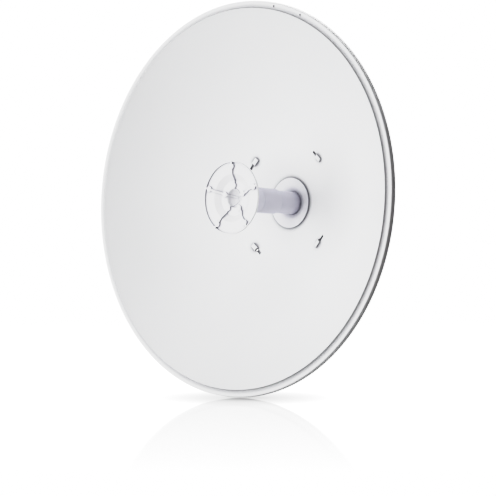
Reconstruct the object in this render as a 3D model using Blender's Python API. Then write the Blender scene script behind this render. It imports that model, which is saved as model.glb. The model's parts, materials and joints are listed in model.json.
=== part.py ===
"""Parabolic microwave dish antenna: a pressed reflector, a front feed with its splash plate,
and a tilting bracket that clamps to a pole.

Metres, +Z up. The dish looks along -Y. The origin is on the flat rear face of the pole bracket,
where the pole bears, so everything of the dish lies at negative Y and the pole at positive Y.
"""

import math

import bmesh
import bpy
from mathutils import Matrix, Vector

# Gap between pieces that touch, how far a cutter runs past the face it cuts, and sheet gauges
GAP = 0.0003
CUT_PAST = 0.0010
SHEET = 0.0016
STEEL = 0.0035
HOLE_SIDES = 12

# Reflector: bowl, raised lip, flat flange and turned-back outer wall.
# "Ahead" is the distance in front of the bowl's lowest point, the vertex.
DISH_RADIUS = 0.3252
BOWL_RADIUS = 0.3122
BOWL_DEPTH = 0.1127
FOCAL_LENGTH = BOWL_RADIUS**2 / (4 * BOWL_DEPTH)
LIP_CREST_RADIUS = 0.3134
LIP_CREST_AHEAD = 0.1138
LIP_FILLET = 0.0034
LIP_FILLET_START = 212.0
FLANGE_AHEAD = 0.1096
FLANGE_FLAT_FROM = 0.3184
EDGE_CURL = 0.0020
RIM_REAR_AHEAD = 0.1000
CENTRE_HOLE_RADIUS = 0.0363
DISH_SEGMENTS = 72
BOWL_RINGS = 13
VERTEX_Y = -0.1160

# Two small holes in the flange, near the top, as angles from the top towards +X
RIM_HOLE_ANGLES = (7.4, 18.4)
RIM_HOLE_RADIUS = 0.0020
RIM_HOLE_CIRCLE = 0.3199

# Four S-shaped lances where the hub plate's feet stand
LANCE_CIRCLE = 0.0992
LANCE_FIRST_ANGLE = 51.6
LANCE_COUNT = 4
LANCE_HALF_LENGTH = 0.0130
LANCE_RAMP = 0.0015
LANCE_HALF_WIDTH = 0.0035
LANCE_HEIGHT = 0.0030
LANCE_WALL = 0.0012
LANCE_OVERLAP = 0.0003
LANCE_CUT_DEPTH = 0.0060

# Feed: funnel-shaped flange through the bowl's hole, stepped tube, collar and splash plate
FLANGE_RADIUS = 0.0411
FLANGE_BACK = FLANGE_RADIUS**2 / (4 * FOCAL_LENGTH) + GAP
FLANGE_EDGE_FRONT = 0.0047
FLANGE_EDGE_ROUND = 0.0008
FLANGE_THROAT_AHEAD = -0.0012
FLANGE_THROAT_RADIUS = 0.0192
FLANGE_SEAT_AHEAD = -0.0045
FLANGE_HUB_RADIUS = 0.0360
NECK_RADIUS = 0.0200
NECK_REAR = -0.0240
TUBE_BORE = 0.0155
REAR_TUBE_RADIUS = 0.0185
FRONT_TUBE_RADIUS = 0.0210
FRONT_TUBE_BORE = 0.0180
TUBE_STEP_AHEAD = 0.0440
TUBE_CHAMFER = 0.0008
TUBE_SEAM_AHEAD = 0.0860
FEED_SEGMENTS = 40

# Splash plate, front profile measured back from the rim's front edge
PLATE_RADIUS = 0.0600
PLATE_RIM_AHEAD = 0.1463
PLATE_LIP = 0.0014
PLATE_RING_DEPTH = 0.0028
PLATE_SLOPE_RADIUS = 0.0399
PLATE_STEP_RADIUS = 0.0292
PLATE_STEP_DEPTH = 0.0090
PLATE_THROAT_RADIUS = 0.0172
PLATE_CONE_DEPTH = 0.0230
PLATE_WALL = 0.0018
PLATE_BACK_CHAMFER = 0.0010

# Five raised ribs across the splash plate, each with two small round bosses
RIB_COUNT = 5
RIB_FIRST_ANGLE = 93.0
RIB_WIDTH = 0.0034
RIB_HEIGHT = 0.0026
RIB_OUTER_BOSS_AT = 0.0518
RIB_INNER_BOSS_AT = 0.0206
RIB_OUTER_BOSS_RADIUS = 0.0048
RIB_INNER_BOSS_RADIUS = 0.0043
RIB_BOSS_LIFT = 0.0004
RIB_RIM_LIFT = 0.0010
RIB_PAST_RIM = 0.0006
RIB_END_RAMP = 0.0010
RIB_SLOPE_SHIFT = 0.0012
RIB_CONE_END = 0.0033

# Hub plate behind the bowl, on four feet that reach into the lances
HUB_PLATE_AHEAD = -0.0093
HUB_PLATE_STEEL = 0.0030
HUB_PLATE_RADIUS = 0.0680
HUB_ARM_NEAR = 0.0020
HUB_ARM_FAR = 0.0085
HUB_FOOT_LIFT = 0.0012
HUB_FOOT_BEND = 0.0025
HUB_FOOT_ROOT_RADIUS = 0.0580
HUB_FOOT_SHIFT = 0.0001
SPACER_RADIUS = 0.0430
RING_NUT_RADIUS = 0.0320
RING_NUT_LENGTH = 0.0080
RING_NUT_CHAMFER = 0.0010
RING_NUT_NOTCHES = 8
RING_NUT_NOTCH_DEPTH = 0.0030
RING_NUT_NOTCH_HALF_WIDTH = 0.0025

# Rear body of the feed and its two cable connectors
REAR_BODY_RADIUS = 0.0240
REAR_BODY_LENGTH = 0.0300
REAR_BODY_CHAMFER = 0.0015
CONNECTOR_OFFSET = 0.0115
CONNECTOR_FLANGE_RADIUS = 0.0070
CONNECTOR_FLANGE_THICKNESS = 0.0030
CONNECTOR_RADIUS = 0.0050
CONNECTOR_BORE = 0.0034
CONNECTOR_BORE_FLOOR = 0.0040
CONNECTOR_LENGTH = 0.0160

# Tilt arms, bolted to the hub plate
ARM_OUTSIDE_X = 0.0378
ARM_FOOT_WIDTH = 0.0300
ARM_HALF_HEIGHT = 0.0420
ARM_REAR_Y = -0.0130
ARM_BEND = 0.0020
ARM_CORNER_LENGTH = 0.0120
ARM_CORNER_HEIGHT = 0.0130
HUB_BOLT_X = 0.0530
HUB_BOLT_Z = 0.0200
PIVOT_Y = -0.0270
PIVOT_Z = -0.0260
TILT_RADIUS = 0.0520
TILT_SLOT_HALF_ANGLE = 20.0
TILT_SLOT_STEPS = 8

# Pole bracket, its two clamps and the M8 hardware
WEB_HALF_WIDTH = 0.0470
WEB_HALF_HEIGHT = 0.0640
EAR_FRONT_Y = -0.0440
EAR_HALF_HEIGHT = 0.0370
POLE_RADIUS = 0.0240
CLAMP_Z = 0.0470
CLAMP_HALF_HEIGHT = 0.0150
CLAMP_TOOTH_X = 0.0290
CLAMP_TOOTH_Y = 0.0330
CLAMP_TOOTH_APEX_Y = POLE_RADIUS * (1 + math.sqrt(2)) + GAP
CLAMP_TOOTH_END = 0.0100
CLAMP_FRONT_Y = CLAMP_TOOTH_APEX_Y + 0.0008
CLAMP_BACK_Y = CLAMP_FRONT_Y + STEEL
CLAMP_HALF_WIDTH = 0.0450
CLAMP_BOLT_X = 0.0370
CLAMP_BOLT_END_Y = 0.0760
M8_RADIUS = 0.0040
M8_HEX = ("hex", 0.0130)
M8_HEAD = 0.0053
M8_NUT = 0.0065
M8_CLEAR = 0.0045
M8_END_PAST_NUT = 0.0040
M8_END_CHAMFER = 0.0008
M8_FLANGE_RADIUS = 0.0085
M8_FLANGE_EDGE = 0.0014
M8_FLANGE_TOP = 0.0020
M6_RADIUS = 0.0030
M6_HEX = ("hex", 0.0100)
M6_HEAD = 0.0040
M6_NUT = 0.0050
M6_CLEAR = 0.0033
M6_END_PAST_NUT = 0.0004
BOLT_SEGMENTS = 12

# Turns for flat outlines: (x, z) points extruded along world Y, and (y, z) points along world X
ALONG_Y = Matrix(((1, 0, 0, 0), (0, 0, 1, 0), (0, 1, 0, 0), (0, 0, 0, 1)))
ALONG_X = Matrix(((0, 0, 1, 0), (1, 0, 0, 0), (0, 1, 0, 0), (0, 0, 0, 1)))
UPRIGHT = Matrix.Rotation(math.pi / 2, 4, "X")


def clear_scene():
    """Remove whatever the file holds."""
    for old in list(bpy.data.objects):
        bpy.data.objects.remove(old, do_unlink=True)


def make_material(name, colour, roughness, metallic):
    """A Principled material with one colour."""
    made = bpy.data.materials.new(name)
    made.use_nodes = True
    shader = made.node_tree.nodes["Principled BSDF"]
    shader.inputs["Base Color"].default_value = (*colour, 1.0)
    shader.inputs["Roughness"].default_value = roughness
    shader.inputs["Metallic"].default_value = metallic
    return made


def finish_object(name, bm, finish):
    """Turn a bmesh into a named object with outward faces and one material."""
    bmesh.ops.remove_doubles(bm, verts=bm.verts, dist=1e-7)
    bmesh.ops.recalc_face_normals(bm, faces=bm.faces)
    mesh = bpy.data.meshes.new(name)
    bm.to_mesh(mesh)
    bm.free()
    mesh.shade_smooth()
    mesh.set_sharp_from_angle(angle=math.radians(30))
    made = bpy.data.objects.new(name, mesh)
    bpy.context.collection.objects.link(made)
    if finish is not None:
        mesh.materials.append(finish)
    return made


def hex_radius(across_flats, angle):
    """Distance from the middle of a hexagon to its side, at an angle."""
    off_flat = (angle + math.pi / 6) % (math.pi / 3) - math.pi / 6
    return across_flats / 2 / math.cos(off_flat)


def add_ring(bm, radius, along, segments):
    """Points round local +Z. A radius given as ("hex", across flats) makes the ring six-sided."""
    ring = []
    for k in range(segments):
        angle = math.tau * k / segments
        reach = hex_radius(radius[1], angle) if isinstance(radius, tuple) else radius
        ring.append(bm.verts.new((reach * math.cos(angle), reach * math.sin(angle), along)))
    return ring


def join_rings(bm, rings):
    """Faces between each ring and the next."""
    for a, b in zip(rings, rings[1:]):
        for k in range(len(a)):
            after = (k + 1) % len(a)
            bm.faces.new((a[k], a[after], b[after], b[k]))


def turned(name, outline, finish, segments=FEED_SEGMENTS):
    """Turn a closed outline of (radius, along) about local +Z."""
    bm = bmesh.new()
    rings = [add_ring(bm, radius, along, segments) for radius, along in outline]
    join_rings(bm, rings + rings[:1])
    poles = [v for v in bm.verts if math.hypot(v.co.x, v.co.y) < 1e-9]
    bmesh.ops.remove_doubles(bm, verts=poles, dist=1e-7)
    bmesh.ops.dissolve_degenerate(bm, dist=1e-8, edges=bm.edges)
    return finish_object(name, bm, finish)


def turned_bar(name, stations, finish, segments=BOLT_SEGMENTS):
    """A solid turned bar with flat round or six-sided ends."""
    bm = bmesh.new()
    rings = [add_ring(bm, radius, along, segments) for radius, along in stations]
    join_rings(bm, rings)
    bm.faces.new(rings[0])
    bm.faces.new(rings[-1])
    return finish_object(name, bm, finish)


def prism(name, outline, low, high, finish, place=Matrix.Identity(4)):
    """Extrude a flat outline of (x, y) from local z low to high, then move it by place."""
    bm = bmesh.new()
    add_prism(bm, outline, low, high, place)
    return finish_object(name, bm, finish)


def add_prism(bm, outline, low, high, place=Matrix.Identity(4)):
    """Add one extruded outline to a bmesh as a closed shell of its own."""
    base = [bm.verts.new(place @ Vector((x, y, low))) for x, y in outline]
    cap = bm.faces.new(base)
    grown = bmesh.ops.extrude_face_region(bm, geom=[cap])["geom"]
    moved = [v for v in grown if isinstance(v, bmesh.types.BMVert)]
    bmesh.ops.translate(bm, verts=moved, vec=place.to_3x3() @ Vector((0, 0, high - low)))


def box_outline(x0, x1, y0, y1):
    """A rectangle, as an outline."""
    return [(x0, y0), (x1, y0), (x1, y1), (x0, y1)]


def arc(centre_x, centre_y, radius, start, end, steps):
    """Points along a round stretch, angles in degrees."""
    points = []
    for k in range(steps + 1):
        angle = math.radians(start + (end - start) * k / steps)
        points.append((centre_x + radius * math.cos(angle), centre_y + radius * math.sin(angle)))
    return points


def round_outline(centre_x, centre_y, radius, start=0):
    """A closed round outline for a hole or a boss."""
    last = start + 360 - 360 / HOLE_SIDES
    return arc(centre_x, centre_y, radius, start, last, HOLE_SIDES - 1)


def helper(made):
    """Mark an object as a cutter or a guide."""
    made.hide_render = True
    made.display_type = "WIRE"
    return made


def combine(target, other, operation):
    """Add a live Boolean to target. The other object becomes a helper."""
    change = target.modifiers.new(other.name, "BOOLEAN")
    change.operation = operation
    change.solver = "EXACT"
    change.object = helper(other)


def attach(child, parent):
    """Parent an object and keep its own location and rotation as local ones."""
    child.parent = parent
    return child


def aim(made, location, axis):
    """Put a turned piece at a place with its local +Z along axis."""
    made.location = location
    made.rotation_euler = Vector((0, 0, 1)).rotation_difference(Vector(axis)).to_euler()
    return made


def bowl_ahead(radius):
    """Height of the bowl's front surface above its vertex."""
    return radius**2 / (4 * FOCAL_LENGTH)


def offset_path(path, distance):
    """Shift an open path of (radius, ahead) sideways by distance, with mitred corners."""
    points = [Vector(p) for p in path]
    normals = []
    for a, b in zip(points, points[1:]):
        along = (b - a).normalized()
        normals.append(Vector((along.y, -along.x)))
    shifted = []
    for k, point in enumerate(points):
        before = normals[max(k - 1, 0)]
        after = normals[min(k, len(normals) - 1)]
        middle = (before + after).normalized()
        reach = distance / max(middle.dot(after), 0.35)
        shifted.append(tuple(point + middle * reach))
    return shifted


def sheet_outline(path, thickness):
    """Close an open front path into a sheet whose thickness lies behind it."""
    return path + offset_path(path, thickness)[::-1]


# Reflector

def reflector_front_path():
    """Front surface from the centre hole to the rear edge of the outer wall."""
    path = []
    for k in range(BOWL_RINGS + 1):
        radius = CENTRE_HOLE_RADIUS + (BOWL_RADIUS - CENTRE_HOLE_RADIUS) * k / BOWL_RINGS
        path.append((radius, bowl_ahead(radius)))
    path.append((LIP_CREST_RADIUS, LIP_CREST_AHEAD))
    fillet_y = FLANGE_AHEAD + LIP_FILLET
    path += arc(FLANGE_FLAT_FROM, fillet_y, LIP_FILLET, LIP_FILLET_START, 270, 2)
    curl_x = DISH_RADIUS - EDGE_CURL
    path += arc(curl_x, FLANGE_AHEAD - EDGE_CURL, EDGE_CURL, 90, 0, 2)
    path.append((DISH_RADIUS, RIM_REAR_AHEAD))
    return path


def lance_frame(index):
    """Axes of one lance on the bowl: x clockwise along it, y outward, z ahead."""
    angle = math.radians(LANCE_FIRST_ANGLE + 360 / LANCE_COUNT * index)
    slope = LANCE_CIRCLE / (2 * FOCAL_LENGTH)
    clockwise = Vector((math.sin(angle), -math.cos(angle), 0))
    outward = Vector((math.cos(angle), math.sin(angle), slope)).normalized()
    ahead = clockwise.cross(outward)
    middle = Vector((LANCE_CIRCLE * math.cos(angle), LANCE_CIRCLE * math.sin(angle), 0))
    middle.z = bowl_ahead(LANCE_CIRCLE)
    turn = Matrix((clockwise, outward, ahead)).transposed().to_4x4()
    return Matrix.Translation(middle) @ turn


def lance_solids(name, side, half_width, near, outer, start, skin):
    """Four ramped blocks, one per lance. side is 1 for the raised halves and -1 for the pressed
    ones; near and outer are heights from the bowl's surface; start is where the block begins."""
    bm = bmesh.new()
    for index in range(LANCE_COUNT):
        outline = [
            (side * start, side * near),
            (side * (LANCE_HALF_LENGTH - skin), side * near),
            (side * (LANCE_HALF_LENGTH - skin - LANCE_RAMP), side * outer),
            (side * start, side * outer),
        ]
        add_prism(bm, outline, -half_width, half_width, lance_frame(index) @ UPRIGHT)
    return finish_object(name, bm, None)


def make_reflector(finish):
    """The pressed sheet with its rim, its lances, the centre hole and two holes in the flange."""
    made = turned("reflector", sheet_outline(reflector_front_path(), SHEET), finish, DISH_SEGMENTS)
    width = LANCE_HALF_WIDTH
    inner_width = LANCE_HALF_WIDTH - LANCE_WALL
    inner_height = LANCE_HEIGHT - LANCE_WALL
    pressed_depth = LANCE_HEIGHT + LANCE_WALL
    deep = -LANCE_CUT_DEPTH
    lap = LANCE_OVERLAP
    raised = lance_solids("raised_block", 1, width, -SHEET / 2, LANCE_HEIGHT, -lap, 0)
    pressed = lance_solids("pressed_block", -1, width, SHEET / 8, pressed_depth, -lap / 2, 0)
    raised_hollow = lance_solids("raised_hollow", 1, inner_width, deep, inner_height,
                                 -2 * lap, LANCE_WALL)
    pressed_hollow = lance_solids("pressed_hollow", -1, inner_width, deep, LANCE_HEIGHT,
                                  -2 * lap, LANCE_WALL)
    holes = rim_hole_cutter()
    combine(made, raised, "UNION")
    combine(made, pressed, "UNION")
    combine(made, raised_hollow, "DIFFERENCE")
    combine(made, pressed_hollow, "DIFFERENCE")
    combine(made, holes, "DIFFERENCE")
    return [made, raised, pressed, raised_hollow, pressed_hollow, holes]


def rim_hole_cutter():
    """Two short pegs through the flange."""
    bm = bmesh.new()
    for degrees in RIM_HOLE_ANGLES:
        angle = math.radians(90 - degrees)
        x = RIM_HOLE_CIRCLE * math.cos(angle)
        y = RIM_HOLE_CIRCLE * math.sin(angle)
        outline = round_outline(x, y, RIM_HOLE_RADIUS)
        add_prism(bm, outline, FLANGE_AHEAD - 2 * SHEET, FLANGE_AHEAD + SHEET)
    return finish_object("rim_hole_pegs", bm, None)


# Feed

def make_feed_base_flange(finish):
    """Shallow funnel on the bowl's front, whose hub and hollow neck run back through the sheet."""
    hub_rear = HUB_PLATE_AHEAD + GAP
    outline = [
        (TUBE_BORE, FLANGE_SEAT_AHEAD),
        (FLANGE_THROAT_RADIUS, FLANGE_SEAT_AHEAD),
        (FLANGE_THROAT_RADIUS, FLANGE_THROAT_AHEAD),
        (FLANGE_RADIUS - FLANGE_EDGE_ROUND, FLANGE_EDGE_FRONT),
        (FLANGE_RADIUS, FLANGE_EDGE_FRONT - FLANGE_EDGE_ROUND),
        (FLANGE_RADIUS, FLANGE_BACK),
        (FLANGE_HUB_RADIUS, FLANGE_BACK),
        (FLANGE_HUB_RADIUS, hub_rear),
        (NECK_RADIUS, hub_rear),
        (NECK_RADIUS, NECK_REAR),
        (TUBE_BORE, NECK_REAR),
    ]
    return turned("feed_base_flange", outline, finish)


def make_feed_tubes(finish):
    """Rear tube, wider front tube and the collar that carries the splash plate."""
    rear = [
        (TUBE_BORE, FLANGE_SEAT_AHEAD + GAP),
        (REAR_TUBE_RADIUS, FLANGE_SEAT_AHEAD + GAP),
        (REAR_TUBE_RADIUS, TUBE_STEP_AHEAD),
        (TUBE_BORE, TUBE_STEP_AHEAD),
    ]
    front = [
        (TUBE_BORE, TUBE_STEP_AHEAD + GAP),
        (FRONT_TUBE_RADIUS - TUBE_CHAMFER, TUBE_STEP_AHEAD + GAP),
        (FRONT_TUBE_RADIUS, TUBE_STEP_AHEAD + GAP + TUBE_CHAMFER),
        (FRONT_TUBE_RADIUS, TUBE_SEAM_AHEAD),
        (TUBE_BORE, TUBE_SEAM_AHEAD),
    ]
    collar_end = PLATE_RIM_AHEAD - PLATE_STEP_DEPTH - PLATE_WALL - GAP
    collar = [
        (FRONT_TUBE_BORE, TUBE_SEAM_AHEAD + GAP),
        (FRONT_TUBE_RADIUS, TUBE_SEAM_AHEAD + GAP),
        (FRONT_TUBE_RADIUS, collar_end),
        (FRONT_TUBE_BORE, collar_end),
    ]
    return [
        turned("feed_tube_rear", rear, finish),
        turned("feed_tube_front", front, finish),
        turned("splash_plate_collar", collar, finish),
    ]


def plate_front_path():
    """Front surface of the splash plate from the tip of its cone out to the rim."""
    rim = PLATE_RIM_AHEAD
    return [
        (0.0, rim - PLATE_CONE_DEPTH),
        (PLATE_THROAT_RADIUS, rim - PLATE_STEP_DEPTH),
        (PLATE_STEP_RADIUS, rim - PLATE_STEP_DEPTH),
        (PLATE_SLOPE_RADIUS, rim - PLATE_RING_DEPTH),
        (PLATE_RADIUS - PLATE_LIP, rim - PLATE_RING_DEPTH),
        (PLATE_RADIUS - PLATE_LIP, rim),
        (PLATE_RADIUS, rim),
    ]


def make_splash_plate(finish):
    """Stepped round plate with a hollow cone at its middle and a thin raised rim."""
    front = plate_front_path()
    rim = PLATE_RIM_AHEAD
    ring_back = rim - PLATE_RING_DEPTH - PLATE_WALL
    step_back = rim - PLATE_STEP_DEPTH - PLATE_WALL
    slope_turn = PLATE_WALL / 2
    back = [
        (PLATE_RADIUS, ring_back + PLATE_BACK_CHAMFER),
        (PLATE_RADIUS - PLATE_BACK_CHAMFER, ring_back),
        (PLATE_SLOPE_RADIUS + slope_turn, ring_back),
        (PLATE_STEP_RADIUS + slope_turn, step_back),
        (PLATE_THROAT_RADIUS + slope_turn / 2, step_back),
        (0.0, rim - PLATE_CONE_DEPTH - 1.6 * PLATE_WALL),
    ]
    return turned("splash_plate", front + back, finish)


def make_rib(index, finish):
    """One raised rib with two bosses: it runs up the cone, over the plate and across its rim."""
    rim = PLATE_RIM_AHEAD
    rim_inside = PLATE_RADIUS - PLATE_LIP
    ring_top = rim - PLATE_RING_DEPTH + RIB_HEIGHT
    step_top = rim - PLATE_STEP_DEPTH + RIB_HEIGHT
    cone_rise = (PLATE_CONE_DEPTH - PLATE_STEP_DEPTH) / PLATE_THROAT_RADIUS
    cone_end = rim - PLATE_CONE_DEPTH + cone_rise * RIB_CONE_END
    lower = [
        (RIB_CONE_END, cone_end + GAP),
        (PLATE_THROAT_RADIUS, rim - PLATE_STEP_DEPTH + GAP),
        (PLATE_STEP_RADIUS, rim - PLATE_STEP_DEPTH + GAP),
        (PLATE_SLOPE_RADIUS, rim - PLATE_RING_DEPTH + GAP),
        (rim_inside - GAP, rim - PLATE_RING_DEPTH + GAP),
        (rim_inside - GAP, rim + GAP),
        (PLATE_RADIUS + RIB_PAST_RIM, rim + GAP),
    ]
    upper = [
        (PLATE_RADIUS + RIB_PAST_RIM, rim + RIB_RIM_LIFT),
        (rim_inside - 2 * RIB_END_RAMP, rim + RIB_RIM_LIFT),
        (rim_inside - 3 * RIB_END_RAMP, ring_top),
        (PLATE_SLOPE_RADIUS - RIB_SLOPE_SHIFT, ring_top),
        (PLATE_STEP_RADIUS - RIB_SLOPE_SHIFT, step_top),
        (PLATE_THROAT_RADIUS - RIB_SLOPE_SHIFT, step_top),
        (RIB_CONE_END, cone_end + RIB_HEIGHT),
    ]
    angle = math.radians(RIB_FIRST_ANGLE + 360 / RIB_COUNT * index)
    place = Matrix.Rotation(angle, 4, "Z") @ UPRIGHT
    name = f"splash_plate_rib_{index + 1}"
    made = prism(name, lower + upper, -RIB_WIDTH / 2, RIB_WIDTH / 2, finish, place)
    bm = bmesh.new()
    outer_boss = (RIB_OUTER_BOSS_AT, RIB_OUTER_BOSS_RADIUS, ring_top)
    inner_boss = (RIB_INNER_BOSS_AT, RIB_INNER_BOSS_RADIUS, step_top)
    for reach, radius, top in (outer_boss, inner_boss):
        middle_x = reach * math.cos(angle)
        middle_y = reach * math.sin(angle)
        outline = round_outline(middle_x, middle_y, radius, start=7)
        add_prism(bm, outline, top - RIB_HEIGHT + 2 * GAP, top + RIB_BOSS_LIFT)
    bosses = finish_object(f"rib_bosses_{index + 1}", bm, None)
    combine(made, bosses, "UNION")
    return [made, bosses]


def make_rear_body(finish, connector_finish):
    """Rear body of the feed with two threaded connectors that look back."""
    front = NECK_REAR - GAP
    rear = front - REAR_BODY_LENGTH
    stations = [
        (REAR_BODY_RADIUS, front),
        (REAR_BODY_RADIUS, rear + REAR_BODY_CHAMFER),
        (REAR_BODY_RADIUS - REAR_BODY_CHAMFER, rear),
    ]
    pieces = [turned_bar("feed_rear_body", stations, finish, FEED_SEGMENTS)]
    seat = rear - GAP
    outline = [
        (CONNECTOR_BORE, seat - CONNECTOR_BORE_FLOOR),
        (CONNECTOR_BORE, seat - CONNECTOR_LENGTH),
        (CONNECTOR_RADIUS, seat - CONNECTOR_LENGTH),
        (CONNECTOR_RADIUS, seat - CONNECTOR_FLANGE_THICKNESS),
        (CONNECTOR_FLANGE_RADIUS, seat - CONNECTOR_FLANGE_THICKNESS),
        (CONNECTOR_FLANGE_RADIUS, seat),
        (0.0, seat),
        (0.0, seat - CONNECTOR_BORE_FLOOR),
    ]
    for side, word in ((-1, "left"), (1, "right")):
        made = turned(f"feed_connector_{word}", outline, connector_finish, BOLT_SEGMENTS)
        made.location.x = side * CONNECTOR_OFFSET
        pieces.append(made)
    return pieces


# Hub behind the bowl

def make_hub_spacer(finish):
    """Ring round the flange's hub, between the bowl's back and the hub plate."""
    inner = FLANGE_HUB_RADIUS + GAP
    front = bowl_ahead(inner) - SHEET - GAP
    rear = HUB_PLATE_AHEAD + GAP
    outline = [
        (inner, front),
        (SPACER_RADIUS, front),
        (SPACER_RADIUS, rear),
        (inner, rear),
    ]
    return turned("hub_spacer", outline, finish)


def make_hub_plate(finish):
    """Round steel plate with four arms, each bent ahead into a foot that stands in a lance."""
    rear = HUB_PLATE_AHEAD - HUB_PLATE_STEEL
    outline = [
        (NECK_RADIUS + GAP, HUB_PLATE_AHEAD),
        (HUB_PLATE_RADIUS, HUB_PLATE_AHEAD),
        (HUB_PLATE_RADIUS, rear),
        (NECK_RADIUS + GAP, rear),
    ]
    made = turned("hub_plate", outline, finish, FEED_SEGMENTS)
    half = HUB_PLATE_STEEL / 2
    tip = bowl_ahead(LANCE_CIRCLE) + HUB_FOOT_LIFT
    arm_rear = rear + HUB_FOOT_SHIFT
    arm_front = HUB_PLATE_AHEAD - HUB_FOOT_SHIFT
    foot = [
        (HUB_FOOT_ROOT_RADIUS, arm_rear),
        (LANCE_CIRCLE + half - HUB_FOOT_BEND, arm_rear),
        (LANCE_CIRCLE + half, arm_rear + HUB_FOOT_BEND),
        (LANCE_CIRCLE + half, tip),
        (LANCE_CIRCLE - half, tip),
        (LANCE_CIRCLE - half, arm_front),
        (HUB_FOOT_ROOT_RADIUS, arm_front),
    ]
    bm = bmesh.new()
    for index in range(LANCE_COUNT):
        angle = math.radians(LANCE_FIRST_ANGLE + 360 / LANCE_COUNT * index)
        place = Matrix.Rotation(angle, 4, "Z") @ UPRIGHT
        add_prism(bm, foot, HUB_ARM_NEAR, HUB_ARM_FAR, place)
    feet = finish_object("hub_feet", bm, None)
    combine(made, feet, "UNION")
    bm = bmesh.new()
    for x in (-HUB_BOLT_X, HUB_BOLT_X):
        for y in (-HUB_BOLT_Z, HUB_BOLT_Z):
            hole = round_outline(x, y, M6_CLEAR)
            add_prism(bm, hole, rear - CUT_PAST, HUB_PLATE_AHEAD + CUT_PAST)
    holes = finish_object("hub_plate_holes", bm, None)
    combine(made, holes, "DIFFERENCE")
    return [made, feet, holes]


def make_ring_nut(finish):
    """Large notched nut that clamps the plate and the bowl to the feed's flange."""
    front = HUB_PLATE_AHEAD - HUB_PLATE_STEEL - GAP
    rear = front - RING_NUT_LENGTH
    outline = [
        (NECK_RADIUS + GAP, front),
        (RING_NUT_RADIUS, front),
        (RING_NUT_RADIUS, rear + RING_NUT_CHAMFER),
        (RING_NUT_RADIUS - RING_NUT_CHAMFER, rear),
        (NECK_RADIUS + GAP, rear),
    ]
    made = turned("feed_ring_nut", outline, finish)
    half = RING_NUT_NOTCH_HALF_WIDTH
    notch = box_outline(RING_NUT_RADIUS - RING_NUT_NOTCH_DEPTH, RING_NUT_RADIUS + CUT_PAST, -half, half)
    bm = bmesh.new()
    for k in range(RING_NUT_NOTCHES):
        turn = Matrix.Rotation(math.tau * (k + 0.5) / RING_NUT_NOTCHES, 4, "Z")
        add_prism(bm, notch, rear - CUT_PAST, front + CUT_PAST, turn)
    notches = finish_object("ring_nut_notches", bm, None)
    combine(made, notches, "DIFFERENCE")
    return [made, notches]


# Tilting bracket, in the world's own axes

def hub_plate_rear_y():
    """World Y of the hub plate's rear face."""
    return VERTEX_Y - (HUB_PLATE_AHEAD - HUB_PLATE_STEEL)


def slot_outline(centre_y, centre_z, radius, half_angle, half_width):
    """A curved slot about a pivot, as (y, z) points, centred straight above the pivot."""
    top = 90 + half_angle
    bottom = 90 - half_angle
    outline = arc(centre_y, centre_z, radius + half_width, bottom, top, TILT_SLOT_STEPS)
    end = arc(centre_y, centre_z, radius, top, top, 1)[0]
    outline += arc(end[0], end[1], half_width, top, top + 180, 6)[1:-1]
    outline += arc(centre_y, centre_z, radius - half_width, top, bottom, TILT_SLOT_STEPS)
    end = arc(centre_y, centre_z, radius, bottom, bottom, 1)[0]
    outline += arc(end[0], end[1], half_width, bottom + 180, bottom + 360, 6)[1:-1]
    return outline


def make_tilt_arm(side, word, finish):
    """Angle bracket: a foot against the hub plate and an arm that reaches back to the pivot."""
    front = hub_plate_rear_y() + GAP
    outside = ARM_OUTSIDE_X
    inside = outside - STEEL
    foot_end = inside + ARM_FOOT_WIDTH
    plan = [
        (inside, front),
        (foot_end, front),
        (foot_end, front + STEEL),
        (outside + ARM_BEND, front + STEEL),
        (outside, front + STEEL + ARM_BEND),
        (outside, ARM_REAR_Y),
        (inside, ARM_REAR_Y),
    ]
    plan = [(side * x, y) for x, y in plan]
    made = prism(f"tilt_arm_{word}", plan, -ARM_HALF_HEIGHT, ARM_HALF_HEIGHT, finish)
    low = min(side * (inside - CUT_PAST), side * (outside + CUT_PAST))
    high = low + STEEL + 2 * CUT_PAST
    bm = bmesh.new()
    add_prism(bm, round_outline(PIVOT_Y, PIVOT_Z, M8_CLEAR), low, high, ALONG_X)
    slot = slot_outline(PIVOT_Y, PIVOT_Z, TILT_RADIUS, TILT_SLOT_HALF_ANGLE, M8_CLEAR)
    add_prism(bm, slot, low, high, ALONG_X)
    for z in (-HUB_BOLT_Z, HUB_BOLT_Z):
        hole = round_outline(side * HUB_BOLT_X, z, M6_CLEAR)
        add_prism(bm, hole, front - CUT_PAST, front + STEEL + CUT_PAST, ALONG_Y)
    holes = finish_object(f"tilt_arm_holes_{word}", bm, None)
    combine(made, holes, "DIFFERENCE")
    corners = arm_corner_cutter(word, low, high)
    combine(made, corners, "DIFFERENCE")


def arm_corner_cutter(word, low, high):
    """Wedges that take an arm's two rear corners off."""
    bm = bmesh.new()
    half = ARM_HALF_HEIGHT + CUT_PAST
    for sign in (-1, 1):
        wedge = [
            (ARM_REAR_Y - ARM_CORNER_LENGTH, sign * half),
            (ARM_REAR_Y + CUT_PAST, sign * (half - ARM_CORNER_HEIGHT)),
            (ARM_REAR_Y + CUT_PAST, sign * half),
        ]
        add_prism(bm, wedge, low, high, ALONG_X)
    return finish_object(f"tilt_arm_corners_{word}", bm, None)


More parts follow.
